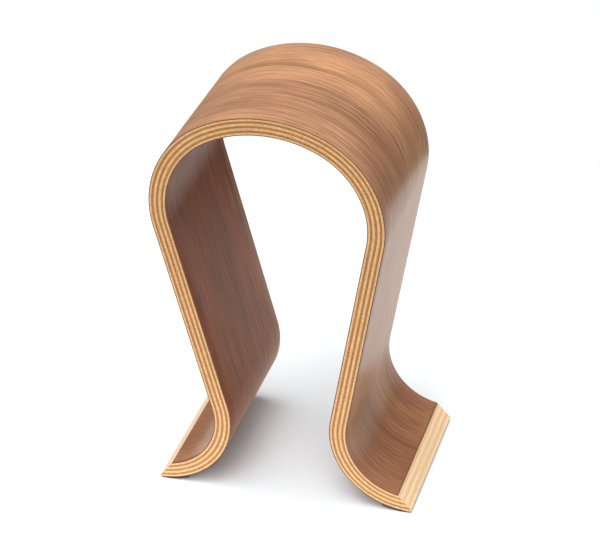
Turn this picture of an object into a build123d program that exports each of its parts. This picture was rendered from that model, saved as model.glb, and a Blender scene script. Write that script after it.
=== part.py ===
"""Bent laminated wood stand that holds one pair of over ear headphones.

The stand is one strip of wood bent into an omega: a round crown that the headband lies on, two legs
that lean inwards, and two feet that turn outwards. The strip is a stack of nine veneers glued in a
press: a walnut veneer on each face and seven light core plies between them. The grain of the odd core
plies runs along the strip and the grain of the even ones runs across it. A rubber pad with a flat base
is stuck under each foot.

X is across the stand, Y is along the strip's width, from front to back, and Z is up. The origin is on
the table, midway between the feet and midway along the width. Lengths are millimetres, angles degrees.
"""

import os
from math import cos, radians, sin, tan

from build123d import *

# Strip
HEIGHT = 257.6  # table to the top of the crown
WIDTH = 100.0  # of the strip, front to back
VENEER = 0.6  # walnut face veneer
FACE_PLY = 1.1  # core plies 1 and 7, thinner than the rest because they are sanded
INNER_PLY = 1.44  # core plies 2 to 6
INNER_PLY_COUNT = 5

# Bends, to the middle of the thickness
CROWN_RADIUS = 75.4
CROWN_HALF_SWEEP = 27.5
SHOULDER_RADIUS = 56.0
LEG_LEAN = 12.1  # of each leg from the vertical, inwards towards its foot
FOOT_RADIUS = 43.8
FOOT_FALL = 6.6  # of the foot's straight tail below the horizontal, towards its tip
TAIL = 1.9  # straight tail of the foot, to the middle of its cut end
MITRE = 46.7  # of the cut end from square, the underside reaching furthest
TIP_ROUND = 1.1  # radius of the tip, between the cut end and the underside

# Pads
TIP_CLEARANCE = 0.35  # unrounded tip above the table
PAD_THICKNESS = 1.3  # before its base is ground flat
PAD_LENGTH = 15.0  # along X
PAD_SETBACK = 5.0  # from the tip
PAD_MARGIN = 0.5  # from the strip's front and back edges

CORE = 2 * FACE_PLY + INNER_PLY_COUNT * INNER_PLY
THICKNESS = CORE + 2 * VENEER
HALF = THICKNESS / 2
OVERRUN = 2 * THICKNESS  # spare length on each tail, which the cut takes off


def step(x, z, heading, radius, sweep):
    """The end of an arc that starts at x, z with that heading and turns by sweep, positive to the left."""
    side = 1 if sweep > 0 else -1
    turned = heading + sweep
    x += side * radius * (sin(radians(turned)) - sin(radians(heading)))
    z -= side * radius * (cos(radians(turned)) - cos(radians(heading)))
    return x, z, turned


SHOULDER_SWEEP = 90.0 + LEG_LEAN - CROWN_HALF_SWEEP
FOOT_SWEEP = 90.0 + LEG_LEAN - FOOT_FALL


def right_half(leg, top):
    """The middle line of the right half, from the crown down, as places with the bend that leads there.

    Each place is x, z, heading and the radius and sweep of the bend before it. A straight has none.
    """
    places = [(0.0, top, 0.0, None, 0.0)]

    def bend(radius, sweep):
        x, z, heading = step(*places[-1][:3], radius, sweep)
        places.append((x, z, heading, radius, sweep))

    def straight(length):
        x, z, heading = places[-1][:3]
        heading_x, heading_z = cos(radians(heading)), sin(radians(heading))
        places.append((x + length * heading_x, z + length * heading_z, heading, None, 0.0))

    bend(CROWN_RADIUS, -CROWN_HALF_SWEEP)
    bend(SHOULDER_RADIUS, -SHOULDER_SWEEP)
    straight(leg)
    bend(FOOT_RADIUS, FOOT_SWEEP)
    straight(TAIL)
    return places


def tip_of(places):
    """The lower corner of the cut end, where the mitre meets the underside."""
    x, z, heading = places[-1][:3]
    reach = HALF * tan(radians(MITRE))
    along_x, along_z = cos(radians(heading)), sin(radians(heading))
    return x + reach * along_x + HALF * along_z, z + reach * along_z - HALF * along_x


# The leg takes up whatever height the bends leave.
CENTRE_TOP = HEIGHT - HALF
BARE_TIP = tip_of(right_half(0.0, CENTRE_TOP))[1]
LEG = (BARE_TIP - TIP_CLEARANCE) / cos(radians(LEG_LEAN))
MIDDLE = right_half(LEG, CENTRE_TOP)
TIP_X, TIP_Z = tip_of(MIDDLE)


def offset_place(place, offset):
    """The point beside a place of the middle line, positive offsets being outside the crown."""
    x, z, heading = place[:3]
    return x - offset * sin(radians(heading)), z + offset * cos(radians(heading))


def half_line(offset):
    """The edges of the right half of the line at an offset from the middle one, past the cut."""
    edges = []
    for before, after in zip(MIDDLE, MIDDLE[1:]):
        start, end = offset_place(before, offset), offset_place(after, offset)
        radius, sweep = after[3:]
        if radius is None:
            edges.append([start, end])
        else:
            x, z, heading = step(*before[:3], radius, sweep / 2)
            edges.append([start, offset_place((x, z, heading), offset), end])
    heading = MIDDLE[-1][2]
    end_x, end_z = edges[-1][-1]
    spare = (end_x + OVERRUN * cos(radians(heading)), end_z + OVERRUN * sin(radians(heading)))
    edges[-1][-1] = spare
    return edges


def mirrored(edges):
    """The same edges on the left half, in the order that runs on from the tip to the crown."""
    return [[(-x, z) for x, z in reversed(edge)] for edge in reversed(edges)]


def drawn(points):
    """A straight edge through two points or an arc through three, in the XZ plane."""
    places = [Vector(x, 0, z) for x, z in points]
    return Line(*places) if len(places) == 2 else ThreePointArc(*places)


def along(start, heading, length):
    """The point at a distance from another, in a heading."""
    return start[0] + length * cos(radians(heading)), start[1] + length * sin(radians(heading))


def end_cut():
    """A block that takes off the overrun of the right foot, leaving the mitre and the rounded tip."""
    tip = (TIP_X, TIP_Z)
    heading = MIDDLE[-1][2]
    rise = heading + 90 + MITRE
    back = heading + 180
    middle = (rise + back) / 2
    half_corner = (90 - MITRE) / 2
    tangent = TIP_ROUND / tan(radians(half_corner))
    nose = TIP_ROUND / sin(radians(half_corner)) - TIP_ROUND
    on_cut = along(tip, rise, tangent)
    under = along(tip, back, tangent)
    top = along(tip, rise, 1.2 * THICKNESS / cos(radians(MITRE)))
    right = TIP_X + 2 * OVERRUN
    low = TIP_Z - OVERRUN
    edges = [
        [under, along(tip, middle, nose), on_cut],
        [on_cut, top],
        [top, (right, top[1])],
        [(right, top[1]), (right, low)],
        [(right, low), (under[0], low)],
        [(under[0], low), under],
    ]
    return extrude(make_face([drawn(edge) for edge in edges]), WIDTH, dir=(0, 1, 0), both=True)


RIGHT_CUT = end_cut()
LEFT_CUT = mirror(RIGHT_CUT, about=Plane.YZ)


def outline(inside, outside):
    """The closed outline between two offsets from the middle line, both tails overrunning."""
    outer, inner = half_line(outside), half_line(inside)
    top = mirrored(outer) + outer
    bottom = mirrored(inner) + inner
    ends = [[top[-1][-1], bottom[-1][-1]], [bottom[0][0], top[0][0]]]
    return make_face([drawn(points) for points in top + bottom + ends])


def layer(inside, outside):
    """One veneer of the stack, between two offsets from the middle line."""
    strip = extrude(outline(inside, outside), WIDTH / 2, dir=(0, 1, 0), both=True)
    return strip - RIGHT_CUT - LEFT_CUT


def foot_pad():
    """The right pad: a band on the underside of the foot, its base ground flat on the table."""
    outer_x = TIP_X - PAD_SETBACK
    tall = 2 * THICKNESS
    room = Pos(outer_x - PAD_LENGTH / 2, 0, tall / 2) * Box(PAD_LENGTH, WIDTH, tall)
    width = WIDTH / 2 - PAD_MARGIN
    band = extrude(outline(-HALF - PAD_THICKNESS, -HALF), width, dir=(0, 1, 0), both=True)
    return min((band & room).solids(), key=lambda piece: piece.center().Z)


def main():
    """Builds every piece and writes each to its own file."""
    os.makedirs("parts", exist_ok=True)
    plies = [FACE_PLY] + [INNER_PLY] * INNER_PLY_COUNT + [FACE_PLY]
    names = [f"core_ply_{number}" for number in range(1, len(plies) + 1)]
    stack = [("outer_walnut_veneer", VENEER), *zip(names, plies), ("inner_walnut_veneer", VENEER)]
    outside = HALF
    for name, thickness in stack:
        export_step(layer(outside - thickness, outside), f"parts/{name}.step")
        outside -= thickness
    right = foot_pad()
    export_step(right, "parts/foot_pad_right.step")
    export_step(mirror(right, about=Plane.YZ), "parts/foot_pad_left.step")
    print(f"leg {LEG:.2f}, tip at {TIP_X:.2f}, {TIP_Z:.2f}, thickness {THICKNESS:.2f}")


main()
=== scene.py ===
"""The look of a bent plywood headphone stand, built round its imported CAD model.

Every veneer of the laminate is made the way the real one is: as a flat sheet, which is then bent round
the press form and cut to the mitre at the feet. The flat coordinates stay with the sheet, so the grain
of every veneer runs round the bends. The CAD model's pieces are replaced and never changed.
"""

import logging
from dataclasses import dataclass, field
from enum import Enum
from functools import reduce
from math import cos, radians, sin, tan
from typing import ClassVar, Iterator, Optional, Sequence, Union

import bmesh
import bpy
from mathutils import Matrix, Vector


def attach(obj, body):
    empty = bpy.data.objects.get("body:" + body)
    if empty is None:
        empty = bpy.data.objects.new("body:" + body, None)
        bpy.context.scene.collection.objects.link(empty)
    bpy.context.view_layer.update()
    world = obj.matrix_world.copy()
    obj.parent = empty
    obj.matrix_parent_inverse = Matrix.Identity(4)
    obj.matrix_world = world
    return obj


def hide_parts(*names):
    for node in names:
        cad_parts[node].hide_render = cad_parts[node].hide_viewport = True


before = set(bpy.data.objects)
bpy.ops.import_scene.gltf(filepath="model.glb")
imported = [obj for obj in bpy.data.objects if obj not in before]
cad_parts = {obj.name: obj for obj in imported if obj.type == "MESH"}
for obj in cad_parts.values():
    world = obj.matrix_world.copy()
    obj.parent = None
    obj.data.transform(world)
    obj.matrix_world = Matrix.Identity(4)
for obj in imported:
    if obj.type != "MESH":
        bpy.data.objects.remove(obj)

logging.basicConfig(level=logging.INFO, format="%(name)s: %(message)s")
LOG = logging.getLogger("stand")

MM = 0.001
FLAT = "flat_mm"  # the attribute that holds where a point was on the flat sheet, in millimetres
SNAP = 1e-5  # a vertex this near a cut counts as on it, in millimetres
LEVEL = 1e-3  # two depths in the sheet that differ by less are the same, in millimetres

Colour = tuple[float, float, float]
Step = tuple[float, float]
Value = Union[bpy.types.NodeSocket, float, Sequence[float]]
Part = Union[bmesh.types.BMVert, bmesh.types.BMEdge, bmesh.types.BMFace]


class Face(Enum):
    """The material slots of a veneer."""

    BROAD = 0
    EDGE = 1
    END = 2


# ------------------------------------------------------------------------------------------ the form


@dataclass(frozen=True)
class Bend:
    """A stretch of the middle line.

    Attributes:
        length: its length, in millimetres.
        radius: its radius, in millimetres, or None if it is straight.
        side: 1 if it turns left on the way down the right half, -1 if it turns right.
    """

    length: float
    radius: Optional[float] = None
    side: int = 1


@dataclass(frozen=True)
class Form:
    """The press form: the middle line of the laminate, and the cut at its ends.

    Lengths are in millimetres and angles in degrees. The left half mirrors the right.

    Attributes:
        height: height of the crown over the table.
        width: width of the strip.
        thickness: thickness of the laminate.
        crown_radius: radius of the middle line over the crown.
        crown_half_sweep: angle that each half of the crown turns through.
        shoulder_radius: radius of the middle line at a shoulder.
        lean: how far a leg leans in on its way down.
        leg: length of a leg's straight part.
        foot_radius: radius of the middle line at a foot.
        fall: slope of the foot's tail, down towards its tip.
        tail: length of the middle line's straight end.
        mitre: how far the cut end is turned from a square cut.
        tip_round: radius of the cut end's lower corner.
        tip_facets: number of steps that the round corner turns in.
    """

    height: float = 257.6
    width: float = 100.0
    thickness: float = 10.6
    crown_radius: float = 75.4
    crown_half_sweep: float = 27.5
    shoulder_radius: float = 56.0
    lean: float = 12.1
    leg: float = 126.0
    foot_radius: float = 43.8
    fall: float = 6.6
    tail: float = 1.9
    mitre: float = 46.7
    tip_round: float = 1.13
    tip_facets: int = 9

    @property
    def half(self) -> float:
        """Half the thickness of the laminate."""
        return self.thickness / 2

    def bends(self) -> list[Bend]:
        """The stretches of the right half, from the crown down.

        Returns:
            The bends and straights in order, with a spare length after the tail.
        """
        crown = radians(self.crown_half_sweep)
        shoulder = radians(90 + self.lean) - crown
        foot = radians(90 + self.lean - self.fall)
        return [
            Bend(self.crown_radius * crown, self.crown_radius, -1),
            Bend(self.shoulder_radius * shoulder, self.shoulder_radius, -1),
            Bend(self.leg),
            Bend(self.foot_radius * foot, self.foot_radius, 1),
            Bend(self.tail + self.thickness),
        ]

    @property
    def half_length(self) -> float:
        """The length of the right half of the sheet, with its spare end."""
        return sum(bend.length for bend in self.bends())

    def place(self, along: float, offset: float) -> tuple[float, float]:
        """Bends one point of the flat sheet round the form.

        Args:
            along: distance from the crown along the sheet, positive to the right.
            offset: distance outside the middle line.

        Returns:
            The point's x and z, in millimetres.
        """
        side = 1.0 if along >= 0 else -1.0
        left, heading = abs(along), 0.0
        x, z = 0.0, self.height - self.half
        bends = self.bends()
        for bend in bends:
            run = left if bend is bends[-1] else min(left, bend.length)
            if bend.radius is None:
                x, z = x + run * cos(heading), z + run * sin(heading)
            else:
                turned = heading + bend.side * run / bend.radius
                x += bend.side * bend.radius * (sin(turned) - sin(heading))
                z -= bend.side * bend.radius * (cos(turned) - cos(heading))
                heading = turned
            left -= run
            if left <= 0:
                break
        return side * (x - offset * sin(heading)), z + offset * cos(heading)

    def tip(self) -> Vector:
        """Finds the lower corner of the right foot's cut end, before it is rounded.

        Returns:
            The corner, in millimetres, on the strip's centre plane.
        """
        end = self.half_length - self.thickness
        fall = radians(self.fall)
        x, z = self.place(end, -self.half)
        reach = self.half * tan(radians(self.mitre))
        return Vector((x + reach * cos(fall), 0, z - reach * sin(fall)))

    def cuts(self) -> Iterator[tuple[Vector, Vector]]:
        """The saw cut of the right foot and the facets that round its tip.

        Yields:
            A point on each plane and its normal, which points at the waste, in millimetres.
        """
        tip = self.tip()
        mitre = radians(self.mitre - self.fall)
        under = radians(-90 - self.fall)
        corner = radians(90 - self.mitre) / 2
        yield tip, Vector((cos(mitre), 0, sin(mitre)))
        inwards = (mitre + under) / 2
        centre = tip - Vector((cos(inwards), 0, sin(inwards))) * (self.tip_round / sin(corner))
        for number in range(1, self.tip_facets):
            turn = mitre + (under - mitre) * number / self.tip_facets
            normal = Vector((cos(turn), 0, sin(turn)))
            yield centre + normal * self.tip_round, normal


FORM = Form()


# ---------------------------------------------------------------------------------------- patterns


@dataclass(frozen=True)
class Pattern:
    """Smooth noise with the size and strength of one feature of wood.

    Attributes:
        spans: size of the feature along the strip, across it and out of it, in millimetres.
        shift: added to the wood's seed, so that no two of its patterns are alike.
        detail: number of octaves.
        roughness: how much the small octaves count.
        contrast: how much it changes the wood's lightness from its darkest to its lightest.
    """

    spans: tuple[float, float, float]
    shift: float
    detail: float = 2.0
    roughness: float = 0.5
    contrast: float = 0.0


THROUGH = 99.0  # a span so long that the pattern hardly changes through the sheet

# Walnut's broad face.
DRIFT = Pattern((150, 55, THROUGH), 0)
FIGURE = Pattern((260, 6.0, THROUGH), 1, 4.0, 0.6)
LINES = Pattern((210, 3.8, THROUGH), 2, 3.0, 0.55)
PATCHES = Pattern((70, 16, THROUGH), 3, 1.0)
WAVER = Pattern((34, 9, THROUGH), 5)
MOTTLE = Pattern((24, 13, THROUGH), 7, contrast=0.35)
STRANDS = Pattern((60, 1.5, THROUGH), 8, 2.0, 0.6, contrast=0.8)
FIBRES = Pattern((30, 0.62, THROUGH), 4, 2.0, 0.6, contrast=1.7)
PORES = Pattern((7.0, 0.26, THROUGH), 6, 2.0, 0.6, contrast=1.0)

# The sawn edges, where the last span is through the ply.
TONE = Pattern((60, 40, 0.9), 0, contrast=0.22)
CUT_FIBRES = Pattern((13, 9, 0.22), 1, 2.0, 0.6, contrast=0.6)


class Cut(Enum):
    """How the saw meets the fibres of a ply. Each value holds the patterns that the cut shows."""

    SIDE = (CUT_FIBRES, Pattern((0.9, 9, 2.0), 2, contrast=0.75), TONE)
    TOE = (CUT_FIBRES, Pattern((0.9, 9, 2.0), 2, contrast=0.12), TONE)
    END = (
        Pattern((0.55, 9, 1.6), 1, 2.0, 0.7, contrast=1.5),
        Pattern((0.2, 0.2, 0.2), 2, 1.0, contrast=0.5),
        Pattern((26, 30, 0.45), 3, contrast=0.3),
        TONE,
    )


# ------------------------------------------------------------------------------------ node graphs


@dataclass
class Graph:
    """A material's node tree, written as expressions.

    Attributes:
        name: the material's name.
        material: the material.
    """

    name: str
    material: bpy.types.Material = field(init=False)

    def __post_init__(self) -> None:
        """Makes the material with an empty node tree."""
        self.material = bpy.data.materials.new(self.name)
        self.material.use_nodes = True
        self.material.node_tree.nodes.clear()

    def node(self, kind: str, inputs: dict[str | int, Value], **settings: object) -> bpy.types.Node:
        """Adds a node.

        Args:
            kind: the node's type.
            inputs: values or sockets, by input name or number.
            settings: the node's own properties.

        Returns:
            The node.
        """
        made = self.material.node_tree.nodes.new(kind)
        for key, value in settings.items():
            setattr(made, key, value)
        for key, value in inputs.items():
            if isinstance(value, bpy.types.NodeSocket):
                self.material.node_tree.links.new(value, made.inputs[key])
            else:
                made.inputs[key].default_value = value
        return made

    def math(self, operation: str, *values: Value) -> bpy.types.NodeSocket:
        """One step of arithmetic.

        Args:
            operation: the math node's operation.
            values: its inputs.

        Returns:
            The result.
        """
        return self.node("ShaderNodeMath", dict(enumerate(values)), operation=operation).outputs[0]

    def flat(self) -> tuple[bpy.types.NodeSocket, bpy.types.NodeSocket, bpy.types.NodeSocket]:
        """Where the shaded point was on the flat sheet.

        Returns:
            The distance along the strip, across it and out of it, in millimetres.
        """
        stored = self.node("ShaderNodeAttribute", {}, attribute_name=FLAT)
        parts = self.node("ShaderNodeSeparateXYZ", {0: stored.outputs["Vector"]})
        return parts.outputs[0], parts.outputs[1], parts.outputs[2]

    def noise(self, parts: Sequence[Value], pattern: Pattern, seed: float) -> bpy.types.NodeSocket:
        """A pattern in the wood.

        Args:
            parts: the place along the strip, across it and out of it, in millimetres.
            pattern: the feature that is drawn.
            seed: the wood's seed.

        Returns:
            Smooth noise about one half, from 0 to 1.
        """
        scaled = [
            self.math("MULTIPLY_ADD", part, 1 / span, seed + pattern.shift)
            for part, span in zip(parts, pattern.spans)
        ]
        vector = self.node("ShaderNodeCombineXYZ", dict(enumerate(scaled))).outputs[0]
        inputs = {
            "Vector": vector, "Scale": 1.0, "Detail": pattern.detail, "Roughness": pattern.roughness,
        }
        return self.node("ShaderNodeTexNoise", inputs).outputs[0]

    def product(self, *factors: Value) -> Value:
        """Multiplies any number of factors."""
        return reduce(lambda first, second: self.math("MULTIPLY", first, second), factors)

    def ramp(self, value: Value, stops: Sequence[tuple[float, Colour]], ease: str = "LINEAR") -> Value:
        """Colours by value.

        Args:
            value: what is looked up, from 0 to 1.
            stops: positions and colours, in order.
            ease: the interpolation.

        Returns:
            The colour.
        """
        made = self.node("ShaderNodeValToRGB", {0: value})
        elements = made.color_ramp.elements
        made.color_ramp.interpolation = ease
        while len(elements) < len(stops):
            elements.new(0.5)
        for element, (position, colour) in zip(elements, stops):
            element.position = position
            element.color = (*colour, 1.0)
        return made.outputs[0]

    def band(self, value: Value, step: Step) -> Value:
        """A smooth step.

        Args:
            value: the value looked at.
            step: where the step begins and ends.

        Returns:
            0 below the step and 1 above it.
        """
        inputs = {0: value, 1: step[0], 2: step[1]}
        made = self.node("ShaderNodeMapRange", inputs, interpolation_type="SMOOTHSTEP")
        return made.outputs[0]

    def mix(self, amount: Value, first: Value, second: Value, blend: str = "MIX") -> Value:
        """Mixes two colours.

        Args:
            amount: how much of the second, from 0 to 1.
            first: a colour.
            second: a colour.
            blend: the blend mode.

        Returns:
            The mixed colour.
        """
        made = self.node("ShaderNodeMix", {}, data_type="RGBA", blend_type=blend)
        links = self.material.node_tree.links
        for key, value in (("Factor_Float", amount), ("A_Color", first), ("B_Color", second)):
            socket = next(end for end in made.inputs if end.identifier == key)
            if isinstance(value, bpy.types.NodeSocket):
                links.new(value, socket)
            else:
                socket.default_value = (*value, 1.0) if key != "Factor_Float" else value
        return next(end for end in made.outputs if end.identifier == "Result_Color")

    def scale(self, colour: Value, factor: Value) -> Value:
        """Makes a colour lighter or darker.

        Args:
            colour: the colour.
            factor: what it is multiplied by.

        Returns:
            The scaled colour.
        """
        inputs = {0: colour, "Scale": factor}
        return self.node("ShaderNodeVectorMath", inputs, operation="SCALE").outputs[0]

    def vary(self, value: Value, amount: float) -> Value:
        """Turns noise into a factor about one.

        Args:
            value: noise about one half.
            amount: the factor's change for a full swing of the noise.

        Returns:
            The factor.
        """
        return self.math("MULTIPLY_ADD", value, amount, 1 - amount / 2)

    def bump(self, height: Value, depth: float) -> Value:
        """Relief for a surface.

        Args:
            height: the relief, from 0 to 1.
            depth: its depth, in millimetres.

        Returns:
            The normal.
        """
        inputs = {"Height": height, "Distance": depth * MM, "Strength": 1.0}
        return self.node("ShaderNodeBump", inputs).outputs[0]

    def surface(self, **inputs: Value) -> bpy.types.Material:
        """Ends the graph with a principled surface.

        Args:
            inputs: the shader's inputs, with underscores for spaces.

        Returns:
            The material.
        """
        named = {key.replace("_", " "): value for key, value in inputs.items()}
        named["Base Color"] = self.coloured(named["Base Color"])
        shader = self.node("ShaderNodeBsdfPrincipled", named)
        self.node("ShaderNodeOutputMaterial", {0: shader.outputs[0]})
        return self.material

    @staticmethod
    def coloured(colour: Value) -> Value:
        """Gives a plain colour its alpha."""
        return colour if isinstance(colour, bpy.types.NodeSocket) else (*colour, 1.0)


# ---------------------------------------------------------------------------------------- finishes


@dataclass(frozen=True)
class Walnut:
    """Flat-cut walnut veneer under satin lacquer. Lengths are in millimetres.

    Attributes:
        name: the material's name.
        stops: the colour bands of the log across the strip, from its front edge to its back.
        wander: how far the bands wander sideways along the strip.
        ripple: how far they waver within a few centimetres.
        spread: how far the figure pulls neighbouring bands into each other.
        streak: strength of the dark lines, from 0 to 1.
        narrowness: how quickly a dark line fades to its sides.
        seed: moves every pattern.
        dark: colour of the dark lines and of the pores.
        core: colour of the painted shade towards the ends of the strip, darker and redder than the lit
            wood.
        painted_shade: strength of the painted shade towards the ends of the strip, from 0 to 1.
        porous: strength of the pores, from 0 to 1.
        ior: refractive index that gives the lacquer's shine.
        fuzz: the lacquer's least roughness.
        unevenness: how much rougher it is over soft fibres.
        relief: depth of the open grain.
        sheen: strength of the pale shine at a low angle, from 0 to 1.
    """

    name: str
    stops: tuple[tuple[float, Colour], ...]
    wander: float = 9.0
    ripple: float = 2.2
    spread: float = 22.0
    streak: float = 0.55
    narrowness: float = 17.0
    seed: float = 3.0
    dark: Colour = (0.115, 0.052, 0.034)
    core: Colour = (0.19, 0.060, 0.026)
    painted_shade: float = 0.0
    porous: float = 0.35
    ior: float = 1.25
    fuzz: float = 0.24
    unevenness: float = 0.12
    relief: float = 0.012
    sheen: float = 0.32

    LINE_EDGE: ClassVar[Step] = (0.05, 1.0)  # from a dark line's faint edge to its middle
    LINE_PATCH: ClassVar[Step] = (0.38, 0.62)  # the lines show only in patches over this
    PORE_EDGE: ClassVar[Step] = (0.62, 0.74)  # the finest grain over this is an open pore
    # The painted shade darkens the wood from the shoulders down to the feet, where the arch shades it.
    SHADE_EDGE: ClassVar[Step] = (55.0, 100.0)  # distance from the crown, in millimetres
    SHADE_RAGGED: ClassVar[float] = 30.0  # how far its edge wavers, in millimetres
    FIBRE_HEIGHT: ClassVar[float] = 0.5  # as a share of the relief
    PORE_DEPTH: ClassVar[float] = 0.7  # as a share of the relief
    SHEEN_ROUGHNESS: ClassVar[float] = 0.4
    SHEEN_TINT: ClassVar[tuple[float, float, float, float]] = (1.0, 0.62, 0.38, 1.0)

    def banding(self, g: Graph, place: Sequence[Value]) -> Value:
        """The log's colour bands with dark lines in them.

        Args:
            g: the material's graph.
            place: the place in the sheet, with the wandering of the grain.

        Returns:
            The colour.
        """
        spread = g.math("SUBTRACT", place[1], (self.spread + self.ripple) / 2)
        spread = g.math("MULTIPLY_ADD", g.noise(place, FIGURE, self.seed), self.spread, spread)
        position = g.math("MULTIPLY_ADD", spread, 1 / FORM.width, 0.5)
        away = g.math("ABSOLUTE", g.math("SUBTRACT", g.noise(place, LINES, self.seed), 0.5))
        line = g.math("SUBTRACT", 1.0, g.math("MULTIPLY", away, self.narrowness))
        patch = g.noise(g.flat(), PATCHES, self.seed)
        dark = g.product(g.band(line, self.LINE_EDGE), g.band(patch, self.LINE_PATCH), self.streak)
        return g.mix(dark, g.ramp(position, self.stops, "EASE"), self.dark)

    def build(self) -> bpy.types.Material:
        """Builds the material.

        Returns:
            The material.
        """
        g = Graph(self.name)
        along, across, out = level = g.flat()
        waver = g.noise(level, WAVER, self.seed)
        shifted = g.math("MULTIPLY_ADD", g.noise(level, DRIFT, self.seed), self.wander, across)
        shifted = g.math("SUBTRACT", shifted, self.wander / 2)
        shifted = g.math("MULTIPLY_ADD", waver, self.ripple, shifted)
        place = (along, shifted, out)
        # Painted shade: the wood turns darker and redder from the shoulders down to the feet, where the
        # arch's shade falls.
        reach = g.math("MULTIPLY_ADD", waver, self.SHADE_RAGGED, g.math("ABSOLUTE", along))
        painted_shade = g.math("MULTIPLY", g.band(reach, self.SHADE_EDGE), self.painted_shade)
        colour = g.mix(painted_shade, self.banding(g, place), self.core)
        fibres = g.noise(place, FIBRES, self.seed)
        pores = g.noise(place, PORES, self.seed)
        light = g.product(
            g.vary(fibres, FIBRES.contrast),
            g.vary(g.noise(level, MOTTLE, self.seed), MOTTLE.contrast),
            g.vary(g.noise(place, STRANDS, self.seed), STRANDS.contrast),
            g.vary(pores, PORES.contrast),
        )
        open_pores = g.band(pores, self.PORE_EDGE)
        colour = g.mix(g.math("MULTIPLY", open_pores, self.porous), g.scale(colour, light), self.dark)
        ribs = g.math("MULTIPLY", fibres, self.FIBRE_HEIGHT)
        height = g.math("MULTIPLY_ADD", open_pores, -self.PORE_DEPTH, ribs)
        gloss = g.math("MULTIPLY_ADD", fibres, self.unevenness, self.fuzz)
        return g.surface(
            Base_Color=colour,
            Roughness=gloss,
            Normal=g.bump(height, self.relief),
            IOR=self.ior,
            Sheen_Weight=self.sheen,
            Sheen_Roughness=self.SHEEN_ROUGHNESS,
            Sheen_Tint=self.SHEEN_TINT,
        )


@dataclass(frozen=True)
class PlyEdge:
    """The sawn and sanded face of a ply.

    Attributes:
        name: the material's name.
        colour: its mean colour.
        cut: how the saw met its fibres.
        seed: moves every pattern.
        roughness: its roughness.
        ior: refractive index that gives its shine.
        relief: depth of its grain, in millimetres.
    """

    name: str
    colour: Colour
    cut: Cut = Cut.SIDE
    seed: float = 11.0
    roughness: float = 0.5
    ior: float = 1.3
    relief: float = 0.01

    def build(self) -> bpy.types.Material:
        """Builds the material.

        Returns:
            The material.
        """
        g = Graph(self.name)
        along, across, out = g.flat()
        place = (across, along, out) if self.cut is Cut.TOE else (along, across, out)
        patterns = self.cut.value
        light = g.product(*(g.vary(g.noise(place, kind, self.seed), kind.contrast) for kind in patterns))
        return g.surface(
            Base_Color=g.scale(self.colour, light),
            Roughness=self.roughness,
            Normal=g.bump(light, self.relief),
            IOR=self.ior,
        )


@dataclass(frozen=True)
class Plain:
    """A finish with one colour.

    Attributes:
        name: the material's name.
        colour: its colour.
        roughness: its roughness.
    """

    name: str
    colour: Colour
    roughness: float

    def build(self) -> bpy.types.Material:
        """Builds the material."""
        return Graph(self.name).surface(Base_Color=self.colour, Roughness=self.roughness)


OUTER_WALNUT = Walnut(
    "walnut_outer",
    (
        (0.00, (0.39, 0.197, 0.108)),
        (0.10, (0.46, 0.232, 0.128)),
        (0.22, (0.37, 0.185, 0.102)),
        (0.34, (0.39, 0.197, 0.108)),
        (0.46, (0.37, 0.180, 0.102)),
        (0.56, (0.48, 0.242, 0.128)),
        (0.66, (0.48, 0.249, 0.128)),
        (0.78, (0.53, 0.272, 0.134)),
        (0.90, (0.46, 0.237, 0.134)),
        (1.00, (0.46, 0.237, 0.140)),
    ),
    # painted shade over the shoulders, legs and feet
    painted_shade=0.5,
)
INNER_WALNUT = Walnut(
    "walnut_inner",
    (
        (0.00, (0.25, 0.065, 0.023)),
        (0.18, (0.26, 0.069, 0.026)),
        (0.40, (0.27, 0.079, 0.034)),
        (0.60, (0.28, 0.091, 0.043)),
        (0.80, (0.31, 0.104, 0.052)),
        (1.00, (0.33, 0.116, 0.058)),
    ),
    wander=4.0,
    streak=0.85,
    seed=40.0,
    ior=1.17,
    fuzz=0.3,
)
WALNUT_EDGE = PlyEdge("walnut_edge", (0.20, 0.095, 0.050))
LONG_EDGE = PlyEdge("long_grain_edge", (0.81, 0.51, 0.265), seed=21.0)
CROSS_EDGE = PlyEdge("cross_grain_edge", (0.48, 0.205, 0.060), Cut.END, seed=31.0)
LONG_TOE = PlyEdge("long_grain_toe", (0.80, 0.53, 0.295), Cut.TOE, seed=51.0)
CROSS_TOE = PlyEdge("cross_grain_toe", (0.90, 0.63, 0.40), Cut.TOE, seed=61.0)
PLY_FACE = PlyEdge("long_grain_face", (0.82, 0.55, 0.32), seed=71.0)
RUBBER = Plain("pad_rubber", (0.012, 0.012, 0.013), 0.62)
TABLE_WHITE = Plain("table_white", (0.845, 0.885, 0.90), 1.0)


# ------------------------------------------------------------------------------------------ pieces


def saw_off(
    bm: bmesh.types.BMesh, parts: Sequence[Part], point: Vector, normal: Vector
) -> list[bmesh.types.BMFace]:
    """Cuts away what lies beyond a plane and closes the cut.

    Args:
        bm: the mesh.
        parts: the vertices, edges and faces that the cut may reach.
        point: a point on the plane.
        normal: the plane's normal, which points at the waste.

    Returns:
        The faces that close the cut, or none where the plane missed.
    """
    cut = bmesh.ops.bisect_plane(
        bm, geom=parts, dist=SNAP, plane_co=point, plane_no=normal, clear_outer=True
    )
    edges = [part for part in cut["geom_cut"] if isinstance(part, bmesh.types.BMEdge)]
    return bmesh.ops.contextual_create(bm, geom=edges)["faces"] if edges else []


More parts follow.
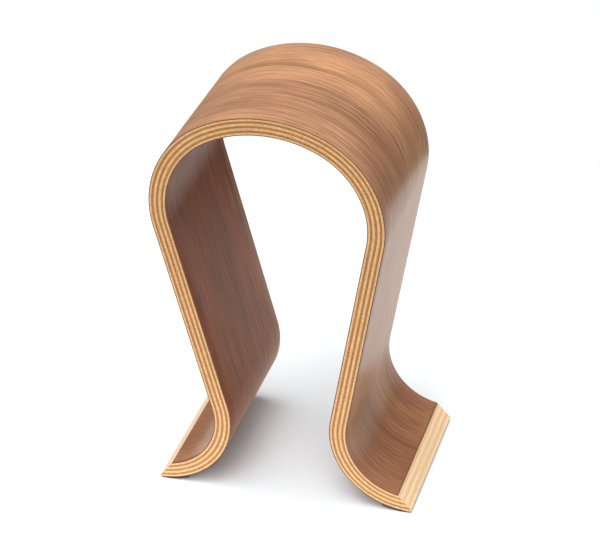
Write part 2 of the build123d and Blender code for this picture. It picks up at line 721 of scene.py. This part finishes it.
def finish_piece(
    bm: bmesh.types.BMesh, finishes: Sequence[Walnut | PlyEdge | Plain], node: str, slot: str
) -> bpy.types.Object:
    """Turns a mesh under construction into an object that stands for a CAD node.

    Args:
        bm: the mesh, in millimetres, which is freed.
        finishes: the finish of each of its material slots.
        node: the CAD node it replaces.
        slot: the record's material slot; not used.

    Returns:
        The object.
    """
    name = node + "_look"
    bmesh.ops.recalc_face_normals(bm, faces=bm.faces)
    bmesh.ops.scale(bm, vec=(MM, MM, MM), verts=bm.verts)
    mesh = bpy.data.meshes.new(name)
    bm.to_mesh(mesh)
    bm.free()
    for finish in finishes:
        mesh.materials.append(finish.build())
    piece = bpy.data.objects.new(name, mesh)
    bpy.context.scene.collection.objects.link(piece)
    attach(piece, "root")
    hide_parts(node)
    LOG.info("%s: %d faces for %s", name, len(mesh.polygons), node)
    return piece


@dataclass
class Veneer:
    """One sheet of the laminate. Lengths are in millimetres.

    Attributes:
        node: the CAD node it replaces.
        slot: the record's material slot.
        inside: offset of its inner face from the middle line.
        outside: offset of its outer face.
        finishes: the finish of its broad faces, long edges and cut ends.
        arris: how much is taken off the edges of its show side.
        steps: number of steps along the sheet.
        rows: number of rows across it.
    """

    node: str
    slot: str
    inside: float
    outside: float
    finishes: tuple[Walnut | PlyEdge, PlyEdge, PlyEdge]
    arris: float = 0.0
    steps: int = 460
    rows: int = 10

    ARRIS_STEPS: ClassVar[int] = 3
    FACING: ClassVar[float] = 0.5  # a face points along an axis where its normal's part is over this

    def sheet(self) -> bmesh.types.BMesh:
        """Lays out the flat sheet as a thin slab.

        Returns:
            The slab, in millimetres.
        """
        bm = bmesh.new()
        bmesh.ops.create_grid(bm, x_segments=self.steps, y_segments=self.rows, size=1.0)
        spread = max(vert.co.x for vert in bm.verts)
        for vert in bm.verts:
            vert.co.x *= FORM.half_length / spread
            vert.co.y *= FORM.width / 2 / spread
            vert.co.z = self.inside
        grown = bmesh.ops.extrude_face_region(bm, geom=bm.faces[:])
        for part in grown["geom"]:
            if isinstance(part, bmesh.types.BMVert):
                part.co.z = self.outside
        bmesh.ops.recalc_face_normals(bm, faces=bm.faces)
        for face in bm.faces:
            side = abs(face.normal.y) > self.FACING
            face.material_index = (Face.EDGE if side else Face.BROAD).value
            face.smooth = abs(face.normal.z) > self.FACING
        return bm

    def press(self, bm: bmesh.types.BMesh) -> None:
        """Bends the slab round the form and keeps its flat coordinates.

        Args:
            bm: the flat slab.
        """
        layer = bm.verts.layers.float_vector.new(FLAT)
        for vert in bm.verts:
            vert[layer] = vert.co
            x, z = FORM.place(vert.co.x, vert.co.z)
            vert.co = (x, vert.co.y, z)

    def saw(self, bm: bmesh.types.BMesh) -> None:
        """Cuts both ends to the mitre and rounds the tips.

        Args:
            bm: the bent slab.
        """
        layer = bm.verts.layers.float_vector[FLAT]
        start = FORM.half_length - FORM.foot_radius  # further in, the cut planes cross the arch
        for side in (1, -1):
            for point, normal in FORM.cuts():
                verts = [vert for vert in bm.verts if side * vert[layer].x > start]
                foot = set(verts)
                parts = [part for part in bm.edges[:] + bm.faces[:] if foot.issuperset(part.verts)]
                on_cut = Vector((side * point.x, 0, point.z))
                outwards = Vector((side * normal.x, 0, normal.z))
                for face in saw_off(bm, verts + parts, on_cut, outwards):
                    face.material_index = Face.END.value
                    face.smooth = False

    def ease(self, bm: bmesh.types.BMesh) -> None:
        """Takes the sharpness off the edges of a face veneer's show side.

        Args:
            bm: the cut slab.
        """
        layer = bm.verts.layers.float_vector[FLAT]
        show = self.outside if self.outside > 0 else self.inside

        def sharp(edge: bmesh.types.BMEdge) -> bool:
            """Tells an edge of the show side from the rest.

            Args:
                edge: the edge.

            Returns:
                True if it lies on the show side, between two finishes.
            """
            on_show = all(abs(vert[layer].z - show) < LEVEL for vert in edge.verts)
            return on_show and len({face.material_index for face in edge.link_faces}) == 2

        edges = [edge for edge in bm.edges if sharp(edge)]
        bmesh.ops.bevel(
            bm,
            geom=edges,
            offset=self.arris,
            segments=self.ARRIS_STEPS,
            profile=0.5,
            affect="EDGES",
            material=-1,
            clamp_overlap=True,
        )

    def build(self) -> bpy.types.Object:
        """Builds the sheet and puts it in the CAD piece's place.

        Returns:
            The finished object.
        """
        bm = self.sheet()
        self.press(bm)
        self.saw(bm)
        if self.arris:
            self.ease(bm)
        return finish_piece(bm, self.finishes, self.node, self.slot)


@dataclass
class FootPad:
    """A rubber band under one foot, its base ground flat on the table. Lengths are in millimetres.

    Attributes:
        node: the CAD node it replaces.
        side: 1 for the right foot, -1 for the left.
        thickness: its thickness before it is ground.
        length: its length across the foot.
        setback: how far its outer end is from the foot's tip.
        margin: how far its ends stay inside the strip's edges.
        blank: length of the band that it is cut from.
        steps: number of steps along the band.
        rows: number of rows across it.
    """

    node: str
    side: int
    thickness: float = 1.3
    length: float = 15.0
    setback: float = 5.0
    margin: float = 0.5
    blank: float = 40.0
    steps: int = 60
    rows: int = 4

    def build(self) -> bpy.types.Object:
        """Builds the pad.

        Returns:
            The finished object.
        """
        bm = bmesh.new()
        bmesh.ops.create_grid(bm, x_segments=self.steps, y_segments=self.rows, size=1.0)
        grown = bmesh.ops.extrude_face_region(bm, geom=bm.faces[:])
        top = {part for part in grown["geom"] if isinstance(part, bmesh.types.BMVert)}
        for vert in bm.verts:
            along = FORM.half_length - self.blank * (1 - vert.co.x) / 2
            offset = -FORM.half - (0.0 if vert in top else self.thickness)
            x, z = FORM.place(along, offset)
            vert.co = (self.side * x, vert.co.y * (FORM.width / 2 - self.margin), z)
        outer = FORM.tip().x - self.setback
        ends = (
            (Vector((self.side * outer, 0, 0)), Vector((self.side, 0, 0))),
            (Vector((self.side * (outer - self.length), 0, 0)), Vector((-self.side, 0, 0))),
            (Vector((0, 0, 0)), Vector((0, 0, -1))),
        )
        for point, normal in ends:
            saw_off(bm, bm.verts[:] + bm.edges[:] + bm.faces[:], point, normal)
        return finish_piece(bm, [RUBBER], self.node, "pad_rubber")


@dataclass
class Laminate:
    """The bent strip: nine veneers, glued in a stack. Lengths are in millimetres.

    Attributes:
        skin: thickness of a walnut face veneer.
        outer_ply: thickness of the first and last core ply.
        inner_ply: thickness of the others.
        inner_plies: number of the others.
        arris: how much is taken off the edges of the walnut.
    """

    skin: float = 0.6
    outer_ply: float = 1.1
    inner_ply: float = 1.44
    inner_plies: int = 5
    arris: float = 0.25

    def stack(self) -> Iterator[Veneer]:
        """The veneers, from the outside in.

        Yields:
            Each veneer.
        """
        core = [self.outer_ply] + [self.inner_ply] * self.inner_plies + [self.outer_ply]
        top, inside = FORM.half, FORM.half - self.skin
        skin = (OUTER_WALNUT, WALNUT_EDGE, WALNUT_EDGE)
        yield Veneer("outer_walnut_veneer", "walnut_veneer", inside, top, skin, self.arris)
        for number, thickness in enumerate(core, start=1):
            outside, inside = inside, inside - thickness
            if number % 2:
                slot, finishes = "long_grain_ply", (PLY_FACE, LONG_EDGE, LONG_TOE)
            else:
                slot, finishes = "cross_grain_ply", (PLY_FACE, CROSS_EDGE, CROSS_TOE)
            yield Veneer(f"core_ply_{number}", slot, inside, outside, finishes)
        skin = (INNER_WALNUT, WALNUT_EDGE, WALNUT_EDGE)
        yield Veneer("inner_walnut_veneer", "walnut_veneer", -FORM.half, inside, skin, self.arris)

    def build(self) -> list[bpy.types.Object]:
        """Builds every veneer."""
        return [veneer.build() for veneer in self.stack()]


# ------------------------------------------------------------------------------------------ studio


@dataclass(frozen=True)
class Sun:
    """A distant softbox.

    Attributes:
        name: its name.
        towards: the direction from the stand to the light.
        strength: its irradiance.
        angle: its apparent size, in degrees.
    """

    name: str
    towards: tuple[float, float, float]
    strength: float
    angle: float

    def build(self) -> bpy.types.Object:
        """Adds the light.

        Returns:
            The lamp.
        """
        data = bpy.data.lights.new(self.name, "SUN")
        data.energy = self.strength
        data.angle = radians(self.angle)
        lamp = bpy.data.objects.new(self.name, data)
        lamp.rotation_euler = Vector(self.towards).to_track_quat("Z", "Y").to_euler()
        bpy.context.scene.collection.objects.link(lamp)
        return lamp


@dataclass(frozen=True)
class View:
    """A long lens in front of the stand, above it and to its right.

    Attributes:
        position: the camera's place, in metres.
        yaw: how far it turns to the right from the table's depth, in degrees.
        pitch: how far it looks down, in degrees.
        roll: how far its right side is raised, in degrees.
        lens: focal length, in millimetres.
        sensor: width of the sensor, in millimetres.
        reach: how far it sees, in metres.
    """

    position: tuple[float, float, float] = (0.34764, -1.01899, 0.77595)
    yaw: float = -18.75
    pitch: float = 31.09
    roll: float = -3.41
    lens: float = 125.63
    sensor: float = 36.0
    reach: float = 20.0

    def build(self) -> bpy.types.Object:
        """Sets up the camera.

        Returns:
            The camera.
        """
        data = bpy.data.cameras.new("camera")
        data.lens = self.lens
        data.sensor_width = self.sensor
        data.clip_end = self.reach
        camera = bpy.data.objects.new("camera", data)
        yaw, pitch, roll = radians(self.yaw), radians(self.pitch), radians(self.roll)
        forward = Vector((sin(yaw) * cos(pitch), cos(yaw) * cos(pitch), -sin(pitch)))
        right = forward.cross(Vector((0, 0, 1))).normalized()
        up = right.cross(forward)
        across = cos(roll) * right + sin(roll) * up
        above = cos(roll) * up - sin(roll) * right
        turn = Matrix((across, above, -forward)).transposed().to_4x4()
        camera.matrix_world = Matrix.Translation(self.position) @ turn
        bpy.context.scene.collection.objects.link(camera)
        bpy.context.scene.camera = camera
        return camera


@dataclass(frozen=True)
class Studio:
    """The white table, the light and the camera.

    Attributes:
        ambient: strength of the surroundings as light.
        reflected: their strength in the lacquer's shine.
        table_low: the table's near left corner, in metres.
        table_high: its far right corner.
        suns: the softboxes.
        view: the camera's view.
    """

    ambient: float = 0.21
    reflected: float = 0.10
    table_low: tuple[float, float] = (-0.60, -0.16)
    table_high: tuple[float, float] = (0.60, 0.40)
    suns: tuple[Sun, ...] = (
        Sun("overhead", (-0.08, -0.05, 1.0), 2.8, 48.0),
        Sun("front", (0.12, -0.85, 0.70), 2.25, 60.0),
    )
    view: View = View()

    def floor(self) -> bpy.types.Object:
        """Lays the white table.

        Returns:
            The table.
        """
        bm = bmesh.new()
        bmesh.ops.create_grid(bm, x_segments=1, y_segments=1, size=1.0)
        for vert in bm.verts:
            x = self.table_high[0] if vert.co.x > 0 else self.table_low[0]
            y = self.table_high[1] if vert.co.y > 0 else self.table_low[1]
            vert.co = (x, y, 0.0)
        mesh = bpy.data.meshes.new("table")
        bm.to_mesh(mesh)
        bm.free()
        mesh.materials.append(TABLE_WHITE.build())
        table = bpy.data.objects.new("table", mesh)
        bpy.context.scene.collection.objects.link(table)
        return table

    def world(self) -> None:
        """Makes the surroundings: white to the camera and paler light for everything else."""
        world = bpy.data.worlds.new("studio")
        bpy.context.scene.world = world
        world.use_nodes = True
        nodes, links = world.node_tree.nodes, world.node_tree.links
        nodes.clear()
        path = nodes.new("ShaderNodeLightPath")
        background = nodes.new("ShaderNodeBackground")
        background.inputs["Color"].default_value = (1.0, 1.0, 1.0, 1.0)
        out = nodes.new("ShaderNodeOutputWorld")
        level: Value = self.ambient
        for ray, strength in (("Is Glossy Ray", self.reflected), ("Is Camera Ray", 1.0)):
            switch = nodes.new("ShaderNodeMapRange")
            links.new(path.outputs[ray], switch.inputs["Value"])
            switch.inputs["To Max"].default_value = strength
            if isinstance(level, float):
                switch.inputs["To Min"].default_value = level
            else:
                links.new(level, switch.inputs["To Min"])
            level = switch.outputs[0]
        links.new(level, background.inputs["Strength"])
        links.new(background.outputs[0], out.inputs[0])

    def build(self) -> None:
        """Builds the studio."""
        self.floor()
        self.world()
        for sun in self.suns:
            sun.build()
        self.view.build()
        bpy.context.scene.view_settings.view_transform = "Standard"
        LOG.info("studio with %d lights", len(self.suns))


def main() -> None:
    """Builds the stand and its studio."""
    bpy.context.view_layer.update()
    Laminate().build()
    for node, side in (("foot_pad_left", -1), ("foot_pad_right", 1)):
        FootPad(node, side).build()
    Studio().build()


if __name__ == "__main__":
    main()
